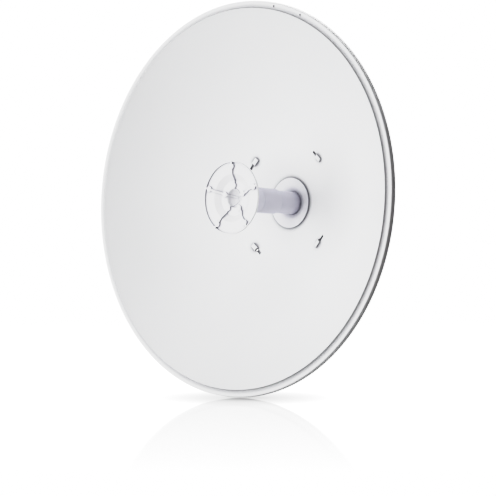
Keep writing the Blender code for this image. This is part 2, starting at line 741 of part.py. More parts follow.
def make_pole_bracket(finish):
    """Flat web that bears on the pole, with two ears that stand inside the tilt arms."""
    web = box_outline(-WEB_HALF_WIDTH, WEB_HALF_WIDTH, -WEB_HALF_HEIGHT, WEB_HALF_HEIGHT)
    made = prism("pole_bracket", web, -STEEL, 0.0, finish, ALONG_Y)
    ear = box_outline(EAR_FRONT_Y, -STEEL / 2, -EAR_HALF_HEIGHT, EAR_HALF_HEIGHT)
    outside = ARM_OUTSIDE_X - STEEL - GAP
    ears_bm = bmesh.new()
    holes_bm = bmesh.new()
    for side in (-1, 1):
        low = min(side * outside, side * (outside - STEEL))
        add_prism(ears_bm, ear, low, low + STEEL, ALONG_X)
        for z in (PIVOT_Z, PIVOT_Z + TILT_RADIUS):
            hole = round_outline(PIVOT_Y, z, M8_CLEAR)
            add_prism(holes_bm, hole, low - CUT_PAST, low + STEEL + CUT_PAST, ALONG_X)
    for x in (-CLAMP_BOLT_X, CLAMP_BOLT_X):
        for z in (-CLAMP_Z, CLAMP_Z):
            add_prism(holes_bm, round_outline(x, z, M8_CLEAR), -STEEL - CUT_PAST, CUT_PAST, ALONG_Y)
    combine(made, finish_object("pole_bracket_ears", ears_bm, None), "UNION")
    combine(made, finish_object("pole_bracket_holes", holes_bm, None), "DIFFERENCE")


def make_pole_clamp(sign, word, finish):
    """Channel whose two toothed edges grip the pole from behind."""
    notch_x = CLAMP_TOOTH_APEX_Y - CLAMP_TOOTH_Y
    right_edge = [
        (0.0, CLAMP_TOOTH_APEX_Y),
        (notch_x, CLAMP_TOOTH_Y),
        (CLAMP_TOOTH_X, CLAMP_TOOTH_Y),
        (CLAMP_HALF_WIDTH, CLAMP_FRONT_Y - CLAMP_TOOTH_END),
        (CLAMP_HALF_WIDTH, CLAMP_FRONT_Y + STEEL / 2),
    ]
    tooth = right_edge + [(-x, y) for x, y in right_edge[:0:-1]]
    middle = sign * CLAMP_Z
    half = CLAMP_HALF_HEIGHT
    plate = box_outline(-CLAMP_HALF_WIDTH, CLAMP_HALF_WIDTH, middle - half, middle + half)
    made = prism(f"pole_clamp_{word}", plate, CLAMP_FRONT_Y, CLAMP_BACK_Y, finish, ALONG_Y)
    bm = bmesh.new()
    for edge in (-1, 1):
        z = middle + edge * (half - STEEL / 2)
        add_prism(bm, tooth, z - STEEL / 2, z + STEEL / 2)
    combine(made, finish_object(f"pole_clamp_teeth_{word}", bm, None), "UNION")
    bm = bmesh.new()
    for x in (-CLAMP_BOLT_X, CLAMP_BOLT_X):
        hole = round_outline(x, middle, M8_CLEAR)
        add_prism(bm, hole, CLAMP_FRONT_Y - CUT_PAST, CLAMP_BACK_Y + CUT_PAST, ALONG_Y)
    combine(made, finish_object(f"pole_clamp_holes_{word}", bm, None), "DIFFERENCE")


def make_clamp_bolts(finish):
    """Four long bolts through the web and the clamps, each with a flanged nut."""
    seat = -STEEL - GAP
    length = M8_HEAD + CLAMP_BOLT_END_Y - seat
    bolt = [
        (M8_HEX, 0.0),
        (M8_HEX, M8_HEAD),
        (M8_RADIUS, M8_HEAD),
        (M8_RADIUS, length - M8_END_CHAMFER),
        (M8_RADIUS - M8_END_CHAMFER, length),
    ]
    nut_top = M8_NUT + M8_FLANGE_EDGE
    nut = [
        (M8_RADIUS + GAP, 0.0),
        (M8_FLANGE_RADIUS, 0.0),
        (M8_FLANGE_RADIUS, M8_FLANGE_EDGE),
        (M8_HEX, M8_FLANGE_TOP),
        (M8_HEX, nut_top),
        (M8_RADIUS + GAP, nut_top),
    ]
    for sign, word in ((1, "upper"), (-1, "lower")):
        for side, hand in ((-1, "left"), (1, "right")):
            x = side * CLAMP_BOLT_X
            z = sign * CLAMP_Z
            made = turned_bar(f"clamp_bolt_{word}_{hand}", bolt, finish)
            aim(made, (x, seat - M8_HEAD, z), (0, 1, 0))
            made = turned(f"clamp_nut_{word}_{hand}", nut, finish, BOLT_SEGMENTS)
            aim(made, (x, CLAMP_BACK_Y + GAP, z), (0, 1, 0))


def bolt_with_nut(hexagon, head, shank, grip, nut, past):
    """Stations of a bolt with its nut on, from the head's outer face along the shank."""
    nut_end = head + grip + nut
    return [
        (hexagon, 0.0),
        (hexagon, head),
        (shank, head),
        (shank, head + grip),
        (hexagon, head + grip),
        (hexagon, nut_end),
        (shank, nut_end),
        (shank, nut_end + past),
    ]


def make_tilt_bolts(finish):
    """Pivot and lock bolts of the tilt arms, each with its nut on."""
    grip = 2 * STEEL + 3 * GAP
    bolt = bolt_with_nut(M8_HEX, M8_HEAD, M8_RADIUS, grip, M8_NUT, M8_END_PAST_NUT)
    for side, hand in ((-1, "left"), (1, "right")):
        start = side * (ARM_OUTSIDE_X + GAP + M8_HEAD)
        for word, z in (("pivot", PIVOT_Z), ("tilt_lock", PIVOT_Z + TILT_RADIUS)):
            made = turned_bar(f"{word}_bolt_{hand}", bolt, finish)
            aim(made, (start, PIVOT_Y, z), (-side, 0, 0))


def make_hub_bolts(finish):
    """Four bolts that hold the tilt arms to the hub plate, each with its nut on."""
    rear = hub_plate_rear_y() + GAP + STEEL + GAP
    grip = STEEL + HUB_PLATE_STEEL + 3 * GAP
    bolt = bolt_with_nut(M6_HEX, M6_HEAD, M6_RADIUS, grip, M6_NUT, M6_END_PAST_NUT)
    for sign, word in ((1, "upper"), (-1, "lower")):
        for side, hand in ((-1, "left"), (1, "right")):
            made = turned_bar(f"hub_bolt_{word}_{hand}", bolt, finish)
            aim(made, (side * HUB_BOLT_X, rear + M6_HEAD, sign * HUB_BOLT_Z), (0, -1, 0))


def main():
    """Build every sub-part and place it."""
    clear_scene()
    dish_paint = make_material("dish_paint", (0.86, 0.87, 0.88), 0.42, 0.0)
    feed_plastic = make_material("feed_plastic", (0.84, 0.84, 0.87), 0.38, 0.0)
    plate_plastic = make_material("splash_plate_plastic", (0.88, 0.88, 0.89), 0.36, 0.0)
    galvanised = make_material("galvanised_steel", (0.60, 0.61, 0.63), 0.42, 1.0)
    bolt_steel = make_material("zinc_bolt", (0.66, 0.66, 0.66), 0.32, 1.0)
    connector_metal = make_material("connector_metal", (0.72, 0.60, 0.32), 0.30, 1.0)

    boresight = bpy.data.objects.new("boresight", None)
    boresight.location = (0, VERTEX_Y, 0)
    boresight.rotation_euler = (math.pi / 2, 0, 0)
    bpy.context.collection.objects.link(boresight)

    on_boresight = make_reflector(dish_paint)
    on_boresight.append(make_feed_base_flange(feed_plastic))
    on_boresight += make_feed_tubes(feed_plastic)
    on_boresight.append(make_splash_plate(plate_plastic))
    for index in range(RIB_COUNT):
        on_boresight += make_rib(index, plate_plastic)
    on_boresight += make_rear_body(feed_plastic, connector_metal)
    on_boresight.append(make_hub_spacer(feed_plastic))
    on_boresight += make_hub_plate(galvanised)
    on_boresight += make_ring_nut(feed_plastic)
    for made in on_boresight:
        attach(made, boresight)

    make_tilt_arm(-1, "left", galvanised)
    make_tilt_arm(1, "right", galvanised)
    make_pole_bracket(galvanised)
    make_pole_clamp(1, "upper", galvanised)
    make_pole_clamp(-1, "lower", galvanised)
    make_clamp_bolts(bolt_steel)
    make_tilt_bolts(bolt_steel)
    make_hub_bolts(bolt_steel)


main()
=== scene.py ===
# %% [markdown]
# # A parabolic dish antenna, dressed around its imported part
#
# The part that this lesson starts from already has its true sizes: a pressed dish 650 mm
# across, a feed that stands on the boresight and a bracket for a pole. Here every piece gets
# the rounding, the small pressed forms and the finish of the real one. The dish looks along
# -Y, X is to the right and Z is up, all in metres.

import json
import math

import bpy
from mathutils import Matrix, Vector

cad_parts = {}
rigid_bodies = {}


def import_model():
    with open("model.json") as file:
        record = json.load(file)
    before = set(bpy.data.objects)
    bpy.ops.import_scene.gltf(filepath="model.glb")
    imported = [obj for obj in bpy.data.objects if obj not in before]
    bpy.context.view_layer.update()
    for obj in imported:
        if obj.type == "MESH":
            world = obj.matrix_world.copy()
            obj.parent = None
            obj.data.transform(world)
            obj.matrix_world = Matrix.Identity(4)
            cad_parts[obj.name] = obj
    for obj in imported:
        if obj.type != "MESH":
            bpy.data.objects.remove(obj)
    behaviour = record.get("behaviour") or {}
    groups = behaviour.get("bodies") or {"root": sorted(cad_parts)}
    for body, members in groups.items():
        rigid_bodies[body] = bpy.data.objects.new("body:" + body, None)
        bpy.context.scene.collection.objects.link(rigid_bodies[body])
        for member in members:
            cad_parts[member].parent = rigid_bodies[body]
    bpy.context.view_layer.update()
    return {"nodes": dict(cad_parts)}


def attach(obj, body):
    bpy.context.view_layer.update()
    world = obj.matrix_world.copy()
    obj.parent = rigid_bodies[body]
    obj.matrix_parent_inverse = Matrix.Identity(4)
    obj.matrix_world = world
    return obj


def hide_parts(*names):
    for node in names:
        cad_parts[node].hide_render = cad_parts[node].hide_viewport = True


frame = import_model()
print("nodes loaded:", len(frame["nodes"]))

# %% [markdown]
# ## The camera comes first
#
# The photo has no perspective: circles of the rim and of the feed keep one shape, so an
# orthographic camera fits it. The real dish looks up by about four degrees, while the part's
# boresight is level. So the world outside is tipped instead: the floor and the camera share one
# frame whose upright leans by the dish's pitch.

# %% The photo's frame
PHOTO_PIXELS = 496
METRES_PER_PIXEL = 0.0016385
VERTEX_PIXEL = (291.65, 202.95)
DISH_PITCH = math.radians(4.10)
CAMERA_AZIMUTH = math.radians(43.00)
CAMERA_ELEVATION = math.radians(1.0)
CAMERA_DISTANCE = 14.0
VERTEX_Y = -0.1160

tip = Matrix.Rotation(DISH_PITCH, 3, "X")
across_floor = math.cos(CAMERA_ELEVATION)
back = tip @ Vector((
    math.sin(CAMERA_AZIMUTH) * across_floor,
    -math.cos(CAMERA_AZIMUTH) * across_floor,
    math.sin(CAMERA_ELEVATION),
))
floor_up = tip @ Vector((0, 0, 1))
right = floor_up.cross(back).normalized()
up = back.cross(right)
print("the camera looks along", [round(c, 3) for c in -back])

# %% Place the camera
half_frame = PHOTO_PIXELS / 2
vertex = Vector((0, VERTEX_Y, 0))
to_middle_right = (half_frame - VERTEX_PIXEL[0]) * METRES_PER_PIXEL
to_middle_up = (VERTEX_PIXEL[1] - half_frame) * METRES_PER_PIXEL
middle = vertex + right * to_middle_right + up * to_middle_up
bpy.ops.object.camera_add()
camera = bpy.context.object
camera.name = "photo_camera"
camera.data.type = "ORTHO"
camera.data.ortho_scale = PHOTO_PIXELS * METRES_PER_PIXEL
camera.data.clip_end = 4 * CAMERA_DISTANCE
turn = Matrix((right, up, back)).transposed().to_4x4()
camera.matrix_world = Matrix.Translation(middle + back * CAMERA_DISTANCE) @ turn
bpy.context.scene.camera = camera
print("the frame is", round(camera.data.ortho_scale, 3), "m across")

# %% [markdown]
# ## Selecting, turning and finishing
#
# Almost every piece of a dish is round about the boresight. By hand one would add a circle,
# then extrude and scale it ring by ring along the section. The helper below does exactly that,
# so a piece is told by its section alone, as points of radius and distance ahead of the
# bowl's deepest point.

# %% Helpers for selecting and ending a piece
MERGE_WITHIN = 1e-6


def only(piece):
    """Select one object and make it the active one."""
    if bpy.context.object and bpy.context.object.mode != "OBJECT":
        bpy.ops.object.mode_set(mode="OBJECT")
    bpy.ops.object.select_all(action="DESELECT")
    bpy.context.view_layer.objects.active = piece
    piece.select_set(True)


def edit(piece, kind="VERT"):
    """Open a piece in edit mode with nothing selected."""
    only(piece)
    bpy.ops.object.mode_set(mode="EDIT")
    bpy.ops.mesh.select_mode(type=kind)
    bpy.ops.mesh.select_all(action="DESELECT")


def apply_modifiers(piece):
    """Apply what hangs on a piece, in order."""
    only(piece)
    for modifier in list(piece.modifiers):
        bpy.ops.object.modifier_apply(modifier=modifier.name)


def soften_edges(piece, width, steps=2, sharper_than=30):
    """Round the edges that turn by more than an angle in degrees."""
    rounding = piece.modifiers.new("soften", "BEVEL")
    rounding.width = width
    rounding.segments = steps
    rounding.angle_limit = math.radians(sharper_than)
    apply_modifiers(piece)


def settle(piece, smooth_angle=30):
    """Put the place into the mesh, and shade round stretches smooth."""
    only(piece)
    bpy.ops.object.transform_apply(location=True, rotation=True, scale=True)
    bpy.ops.object.shade_smooth_by_angle(angle=math.radians(smooth_angle))
    return piece


def close_and_face_out(piece):
    """Merge what meets and turn all faces outwards."""
    edit(piece)
    bpy.ops.mesh.select_all(action="SELECT")
    bpy.ops.mesh.remove_doubles(threshold=MERGE_WITHIN)
    bpy.ops.mesh.normals_make_consistent(inside=False)
    bpy.ops.object.mode_set(mode="OBJECT")


# %% Turn a section about the boresight
# in degrees
TURNED_SHARP = 20


def turned(name, section, segments, rounding, steps=2):
    """A closed section of (radius, ahead) swept round the boresight, with its edges rounded."""
    radius, ahead = section[0]
    bpy.ops.object.select_all(action="DESELECT")
    bpy.ops.mesh.primitive_circle_add(vertices=segments, radius=radius,
                                      location=(0, VERTEX_Y - ahead, 0),
                                      rotation=(math.pi / 2, 0, 0))
    piece = bpy.context.object
    piece.name = name
    bpy.ops.object.mode_set(mode="EDIT")
    for next_radius, next_ahead in section[1:] + section[:1]:
        bpy.ops.mesh.extrude_region_move(
            TRANSFORM_OT_translate={"value": (0, ahead - next_ahead, 0)})
        grow = next_radius / radius
        bpy.ops.transform.resize(value=(grow, 1, grow), center_override=(0, 0, 0))
        radius, ahead = next_radius, next_ahead
    close_and_face_out(piece)
    soften_edges(piece, rounding, steps, TURNED_SHARP)
    return settle(piece)


# %% Cut or join with another solid
def pin(angle, reach, ahead, radius, length, sides):
    """A cylinder along the boresight, at an angle round it and a reach from it."""
    bpy.ops.object.select_all(action="DESELECT")
    bpy.ops.mesh.primitive_cylinder_add(vertices=sides, radius=radius, depth=length,
                                        location=(reach * math.cos(angle), VERTEX_Y - ahead,
                                                  reach * math.sin(angle)),
                                        rotation=(math.pi / 2, 0, 0))
    return bpy.context.object


def combine(piece, other, operation):
    """Boolean one solid with another and remove the other."""
    change = piece.modifiers.new(other.name, "BOOLEAN")
    change.operation = operation
    change.solver = "EXACT"
    change.object = other
    apply_modifiers(piece)
    bpy.data.objects.remove(other, do_unlink=True)


# %% Give a piece its finish and its node's place
def stands_for(piece, node, finish):
    """A new piece takes a node's place, rides with the part and wears one finish."""
    piece.data.materials.clear()
    piece.data.materials.append(finish)
    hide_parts(node)
    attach(piece, "root")


# %% [markdown]
# ## Nodes and colours
#
# Every finish is a small tree of nodes. One helper adds a node with its settings and links,
# and one turns a hex colour, as a paint chart gives it, into the linear values that Blender
# mixes. Patterns read Object coordinates, which are metres here, so a scale of 1000 divided by
# a size in millimetres gives that size on the piece. One more helper paints grey shade into
# folds and corners, found by ambient occlusion: a painted shade where walls close in.

# %% Helpers for materials
def paint(hex_colour):
    """Linear RGBA of an sRGB hex colour, by the curve in the sRGB standard."""
    channels = [int(hex_colour[k:k + 2], 16) / 255 for k in (1, 3, 5)]
    return (*[c / 12.92 if c <= 0.04045 else ((c + 0.055) / 1.055) ** 2.4 for c in channels], 1.0)


def add_node(tree, kind, values=None, links=None, **settings):
    """Add a node, set its properties and input values, and link other nodes' outputs into it."""
    made = tree.nodes.new(kind)
    for key, value in settings.items():
        setattr(made, key, value)
    for key, value in (values or {}).items():
        made.inputs[key].default_value = value
    for key, output in (links or {}).items():
        tree.links.new(output, made.inputs[key])
    return made


def new_finish(name):
    """An empty material: its tree, its Principled shader and its Object coordinates."""
    finish = bpy.data.materials.new(name)
    finish.use_nodes = True
    tree = finish.node_tree
    place = add_node(tree, "ShaderNodeTexCoord").outputs["Object"]
    return finish, tree, tree.nodes["Principled BSDF"], place


# %% Painted shade in the folds
CREASE_SHADE_RAYS = 12


def painted_crease_shade(tree, unshaded_colour, shade_tint, reach, open_above, full_below, most):
    """Mix a painted shade into a colour where walls within the reach leave little open sky."""
    # painted shade: ambient occlusion darkens the colour in folds and corners
    hemmed = add_node(tree, "ShaderNodeAmbientOcclusion", {"Distance": reach},
                      samples=CREASE_SHADE_RAYS)
    amount = add_node(tree, "ShaderNodeMapRange",
                      {"From Min": open_above, "From Max": full_below, "To Max": most},
                      {"Value": hemmed.outputs["AO"]})
    mixed = add_node(tree, "ShaderNodeMix", {"B": paint(shade_tint)},
                     {"Factor": amount.outputs["Result"], "A": unshaded_colour}, data_type="RGBA")
    return mixed.outputs["Result"]


# %% [markdown]
# ## Powder coat on the pressed dish
#
# The reflector is sheet aluminium under a white polyester powder coat. The powder melts into a
# satin film with a shallow orange peel, a ripple a few millimetres wide, and its colour hardly
# varies. The ripple is a bump from noise, and the faint clouds in colour and roughness keep the
# wide bowl from looking like plain white. A painted shade darkens the narrow fold behind the lip.

# %% White powder coat
PEEL_MM = 2.6
CLOUD_MM = 140.0
# grey-violet painted shade for the fold behind the lip and other narrow hollows of the sheet
FOLD_PAINTED_SHADE = {"shade_tint": "#6C6C72", "reach": 0.008, "open_above": 0.975, "full_below": 0.86,
             "most": 0.78}


def make_powder_coat():
    """Satin white polyester powder on aluminium sheet."""
    finish, tree, shader, place = new_finish("white_powder_coat")
    clouds = add_node(tree, "ShaderNodeTexNoise", {"Scale": 1000 / CLOUD_MM, "Detail": 3.0},
                      {"Vector": place})
    colour = add_node(tree, "ShaderNodeMix",
                      {"A": paint("#EDEEEF"), "B": paint("#F2F2F3")},
                      {"Factor": clouds.outputs["Fac"]}, data_type="RGBA")
    gloss = add_node(tree, "ShaderNodeMapRange", {"To Min": 0.40, "To Max": 0.50},
                     {"Value": clouds.outputs["Fac"]})
    peel = add_node(tree, "ShaderNodeTexNoise", {"Scale": 1000 / PEEL_MM, "Detail": 1.0},
                    {"Vector": place})
    bump = add_node(tree, "ShaderNodeBump", {"Strength": 0.06, "Distance": 0.00010},
                    {"Height": peel.outputs["Fac"]})
    # painted shade in the sheet's folds, from ambient occlusion
    crease_shaded = painted_crease_shade(tree, colour.outputs["Result"], **FOLD_PAINTED_SHADE)
    tree.links.new(crease_shaded, shader.inputs["Base Color"])
    tree.links.new(gloss.outputs["Result"], shader.inputs["Roughness"])
    tree.links.new(bump.outputs["Normal"], shader.inputs["Normal"])
    shader.inputs["IOR"].default_value = 1.50
    return finish


powder_coat = make_powder_coat()
print("finish:", powder_coat.name)

# %% [markdown]
# ## Moulded plastic of the feed
#
# The feed's tube, its flange and its splash plate are injection moulded. The tube is a
# cool, faintly violet white with a spark-eroded grain that makes it satin, and the flange and
# the plate are cleaner whites. All are one recipe with other colours and grain. The real grain
# is about a tenth of a millimetre, too fine to show, so it is drawn near one millimetre here.

# %% Moulded white plastics
FLOW_MM = 45.0
MOULD_SPREAD = (-0.04, 0.06)
# grey-violet painted shade for the corners of the flange and the splash plate
CORNER_PAINTED_SHADE = {"shade_tint": "#7C7C8C", "reach": 0.014, "open_above": 0.88, "full_below": 0.50}


def make_moulding(name, pale, deep, grain_mm, grain_depth, roughness, corners=0.0):
    """White injection-moulded plastic with a fine grain and some painted shade in its corners."""
    finish, tree, shader, place = new_finish(name)
    flow = add_node(tree, "ShaderNodeTexNoise", {"Scale": 1000 / FLOW_MM, "Detail": 2.0},
                    {"Vector": place})
    colour = add_node(tree, "ShaderNodeMix", {"A": paint(pale), "B": paint(deep)},
                      {"Factor": flow.outputs["Fac"]}, data_type="RGBA")
    grain = add_node(tree, "ShaderNodeTexNoise", {"Scale": 1000 / grain_mm, "Detail": 2.0},
                     {"Vector": place})
    bump = add_node(tree, "ShaderNodeBump", {"Strength": 0.25, "Distance": grain_depth},
                    {"Height": grain.outputs["Fac"]})
    gloss = add_node(tree, "ShaderNodeMapRange",
                     {"To Min": roughness + MOULD_SPREAD[0],
                      "To Max": roughness + MOULD_SPREAD[1]},
                     {"Value": grain.outputs["Fac"]})
    # painted shade in the corners; the tube, with no corners given, gets none
    crease_shaded = painted_crease_shade(tree, colour.outputs["Result"], most=corners, **CORNER_PAINTED_SHADE)
    tree.links.new(crease_shaded, shader.inputs["Base Color"])
    tree.links.new(gloss.outputs["Result"], shader.inputs["Roughness"])
    tree.links.new(bump.outputs["Normal"], shader.inputs["Normal"])
    shader.inputs["IOR"].default_value = 1.46
    return finish


tube_plastic = make_moulding("moulded_tube_plastic", "#DAD9E4", "#D3D2DE",
                             grain_mm=0.9, grain_depth=0.00004, roughness=0.42)
plate_plastic = make_moulding("moulded_plate_plastic", "#F6F6F8", "#F2F2F4",
                              grain_mm=1.4, grain_depth=0.00003, roughness=0.33, corners=0.6)
flange_plastic = make_moulding("moulded_flange_plastic", "#F0F0F3", "#EBEBEF",
                               grain_mm=0.9, grain_depth=0.00004, roughness=0.40, corners=0.6)
print("plastics:", tube_plastic.name, plate_plastic.name, flange_plastic.name)

# %% [markdown]
# ## Galvanised steel and zinc-plated bolts
#
# The bracket is cut and bent from steel, then dipped in molten zinc, which freezes into
# spangle: flat crystals about a centimetre across, each reflecting a little differently. A
# Voronoi pattern gives each crystal its own grey and its own roughness. Bolts are plated
# instead, a thin even layer with scratches from the tumbling barrel, and so are the brass
# connectors, whose plating leaves a warm shine. Real scratches are as fine as hairs: here they
# are a third of a millimetre across and three millimetres long, so that they show.

# %% Galvanised sheet and plated bolts
SPANGLE_MM = 9.0
MOTTLE_MM = 2.0
SCRATCH_LENGTH_MM = 3.0
SCRATCH_NARROWING = (1.0, 9.0, 1.0)
PLATED_SPREAD = (-0.08, 0.10)


def make_galvanised():
    """Hot dip galvanised steel with spangle."""
    finish, tree, shader, place = new_finish("galvanised_sheet")
    spangle = add_node(tree, "ShaderNodeTexVoronoi", {"Scale": 1000 / SPANGLE_MM},
                       {"Vector": place})
    grey = add_node(tree, "ShaderNodeSeparateColor", links={"Color": spangle.outputs["Color"]})
    colour = add_node(tree, "ShaderNodeMix", {"A": paint("#A3A7AB"), "B": paint("#C3C6C9")},
                      {"Factor": grey.outputs["Red"]}, data_type="RGBA")
    gloss = add_node(tree, "ShaderNodeMapRange", {"To Min": 0.34, "To Max": 0.56},
                     {"Value": grey.outputs["Green"]})
    mottle = add_node(tree, "ShaderNodeTexNoise", {"Scale": 1000 / MOTTLE_MM, "Detail": 3.0},
                      {"Vector": place})
    bump = add_node(tree, "ShaderNodeBump", {"Strength": 0.20, "Distance": 0.00008},
                    {"Height": mottle.outputs["Fac"]})
    tree.links.new(colour.outputs["Result"], shader.inputs["Base Color"])
    tree.links.new(gloss.outputs["Result"], shader.inputs["Roughness"])
    tree.links.new(bump.outputs["Normal"], shader.inputs["Normal"])
    shader.inputs["Metallic"].default_value = 1.0
    return finish


def make_plated(name, pale, deep, roughness):
    """Thin bright plating with barrel scratches that are narrow along the boresight."""
    finish, tree, shader, place = new_finish(name)
    narrowed = add_node(tree, "ShaderNodeMapping", {"Scale": SCRATCH_NARROWING},
                        {"Vector": place})
    scratches = add_node(tree, "ShaderNodeTexNoise",
                         {"Scale": 1000 / SCRATCH_LENGTH_MM, "Detail": 4.0},
                         {"Vector": narrowed.outputs["Vector"]})
    colour = add_node(tree, "ShaderNodeMix", {"A": paint(pale), "B": paint(deep)},
                      {"Factor": scratches.outputs["Fac"]}, data_type="RGBA")
    gloss = add_node(tree, "ShaderNodeMapRange",
                     {"To Min": roughness + PLATED_SPREAD[0],
                      "To Max": roughness + PLATED_SPREAD[1]},
                     {"Value": scratches.outputs["Fac"]})
    tree.links.new(colour.outputs["Result"], shader.inputs["Base Color"])
    tree.links.new(gloss.outputs["Result"], shader.inputs["Roughness"])
    shader.inputs["Metallic"].default_value = 1.0
    return finish


galvanised = make_galvanised()
plated_zinc = make_plated("plated_zinc", "#C9CBCC", "#B4B6B9", roughness=0.28)
plated_brass = make_plated("plated_brass", "#CDB27A", "#B99C62", roughness=0.26)
print("metals:", galvanised.name, plated_zinc.name, plated_brass.name)

# %% [markdown]
# ## The reflector's section
#
# The dish is pressed from one sheet. From the centre hole the section follows the parabola to
# a sharp crest, drops into a hollow fillet, runs out as a flat flange, and turns back over a
# round edge into the outer wall. A front line alone would do with Solidify, but the crest is
# so narrow that its inner side would cross itself, so the rear line is worked out here, corner
# by corner.

# %% Measures of the reflector
# the crest is a radius and a distance ahead, the fillet starts at an angle in degrees
SHEET = 0.0016
BOWL_RADIUS = 0.3122
BOWL_DEPTH = 0.1127
FOCAL_LENGTH = BOWL_RADIUS**2 / (4 * BOWL_DEPTH)
CENTRE_HOLE_RADIUS = 0.0363
LIP_CREST = (0.3134, 0.1138)
LIP_FILLET = 0.0034
LIP_FILLET_START = 196.0
LIP_FILLET_STEPS = 5
FLANGE_AHEAD = 0.1096
FLANGE_FLAT_FROM = 0.3173
DISH_RADIUS = 0.3252
EDGE_CURL = 0.0020
EDGE_CURL_STEPS = 6
RIM_REAR_AHEAD = 0.1000
BOWL_RINGS = 48
DISH_SEGMENTS = 360
SHEET_ROUNDING = 0.0003


def bowl_ahead(radius):
    """Height of the bowl's front above its deepest point."""
    return radius**2 / (4 * FOCAL_LENGTH)


def arc(middle, radius, start, end, steps):
    """Points on a round stretch, in degrees."""
    points = []
    for k in range(steps + 1):
        angle = math.radians(start + (end - start) * k / steps)
        points.append((middle[0] + radius * math.cos(angle), middle[1] + radius * math.sin(angle)))
    return points


print("focal length:", round(FOCAL_LENGTH * 1000, 1), "mm")

# %% Section of the sheet
LEAST_CORNER_COSINE = 0.35


def sheet_section(front, thickness):
    """A front line and, behind it, the same line shifted by the sheet's thickness.

    The cosine's lower bound keeps the rear of a sharp corner from running far away.
    """
    points = [Vector(p) for p in front]
    sides = []
    for a, b in zip(points, points[1:]):
        along = (b - a).normalized()
        sides.append(Vector((along.y, -along.x)))
    rear = []
    for k, point in enumerate(points):
        before = sides[max(k - 1, 0)]
        after = sides[min(k, len(sides) - 1)]
        middle_way = (before + after).normalized()
        cosine = max(middle_way.dot(after), LEAST_CORNER_COSINE)
        rear.append(tuple(point + middle_way * thickness / cosine))
    return list(front) + rear[::-1]


front_line = []
for k in range(BOWL_RINGS + 1):
    radius = CENTRE_HOLE_RADIUS + (BOWL_RADIUS - CENTRE_HOLE_RADIUS) * k / BOWL_RINGS
    front_line.append((radius, bowl_ahead(radius)))
front_line.append(LIP_CREST)
fillet_middle = (FLANGE_FLAT_FROM, FLANGE_AHEAD + LIP_FILLET)
front_line += arc(fillet_middle, LIP_FILLET, LIP_FILLET_START, 270, LIP_FILLET_STEPS)
curl_middle = (DISH_RADIUS - EDGE_CURL, FLANGE_AHEAD - EDGE_CURL)
front_line += arc(curl_middle, EDGE_CURL, 90, 0, EDGE_CURL_STEPS)
front_line.append((DISH_RADIUS, RIM_REAR_AHEAD))
dish_section = sheet_section(front_line, SHEET)
print("points in the dish's section:", len(dish_section))

# %% Turn the reflector
reflector = turned("reflector_sheet", dish_section, DISH_SEGMENTS, SHEET_ROUNDING)
print("reflector faces:", len(reflector.data.polygons))

# %% [markdown]
# ## The four lances
#
# Where the hub plate's feet hold the dish, the press has slit the sheet across and pushed one
# half of a short strip forward and the other half back. Seen from the front it is an S with a
# black slot at its middle. Each half is a block with a ramp at its far end and soft edges:
# joined to the sheet first and then hollowed from its open side, so that the slot between the
# two opens into a dark pocket.

# %% Measures of the lances
LANCE_COUNT = 4
LANCE_CIRCLE = 0.0992
LANCE_FIRST_ANGLE = 51.6
LANCE_HALF_LENGTH = 0.0130
LANCE_RAMP = 0.0015
LANCE_HALF_WIDTH = 0.0035
LANCE_HEIGHT = 0.0030
LANCE_WALL = 0.0012
LANCE_OVERLAP = 0.0003
LANCE_CUT_DEPTH = 0.0060
POCKET_FLOOR = 0.0011
LANCE_ROUNDING = 0.0005
LANCE_ROUNDING_STEPS = 3


def lance_place(index):
    """Axes of a lance on the bowl: x clockwise along it, y outwards, z ahead of the surface."""
    angle = math.radians(LANCE_FIRST_ANGLE + 360 / LANCE_COUNT * index)
    clockwise = Vector((math.sin(angle), 0, -math.cos(angle)))
    slope = LANCE_CIRCLE / (2 * FOCAL_LENGTH)
    outward = Vector((math.cos(angle), -slope, math.sin(angle))).normalized()
    ahead = clockwise.cross(outward)
    centre = Vector((LANCE_CIRCLE * math.cos(angle), VERTEX_Y - bowl_ahead(LANCE_CIRCLE),
                     LANCE_CIRCLE * math.sin(angle)))
    return Matrix.Translation(centre) @ Matrix((clockwise, outward, ahead)).transposed().to_4x4()


print("lance at", [round(c, 4) for c in lance_place(0).translation])


# %% One half of a lance, as a ramped block
def lance_block(name, index, side, half_width, near, outer, start, skin, rounding):
    """A block from the slit to the ramp's end. side is 1 for the raised half, -1 for the other."""
    length = LANCE_HALF_LENGTH - skin - start
    middle = Vector((side * (start + length / 2), 0, side * (near + outer) / 2))
    bpy.ops.object.select_all(action="DESELECT")
    bpy.ops.mesh.primitive_cube_add(size=1)
    block = bpy.context.object
    block.name = name
    edit(block, "FACE")
    bpy.ops.mesh.select_all(action="SELECT")
    bpy.ops.transform.resize(value=(length, 2 * half_width, outer - near),
                             center_override=(0, 0, 0))
    bpy.ops.transform.translate(value=middle)
    bpy.ops.mesh.select_all(action="DESELECT")
    bpy.ops.object.mode_set(mode="OBJECT")
    for vertex_point in block.data.vertices:
        at_end = side * vertex_point.co.x > start + length / 2
        vertex_point.select = at_end and side * vertex_point.co.z > (near + outer) / 2
    bpy.ops.object.mode_set(mode="EDIT")
    bpy.ops.mesh.select_mode(type="VERT")
    bpy.ops.transform.translate(value=(-side * LANCE_RAMP, 0, 0))
    bpy.ops.object.mode_set(mode="OBJECT")
    if rounding:
        soften_edges(block, rounding, LANCE_ROUNDING_STEPS)
    block.matrix_world = lance_place(index)
    only(block)
    bpy.ops.object.transform_apply(location=True, rotation=True, scale=True)
    return block


# %% Press the lances
inner_width = LANCE_HALF_WIDTH - LANCE_WALL
inner_height = LANCE_HEIGHT - LANCE_WALL
pressed_depth = LANCE_HEIGHT + LANCE_WALL
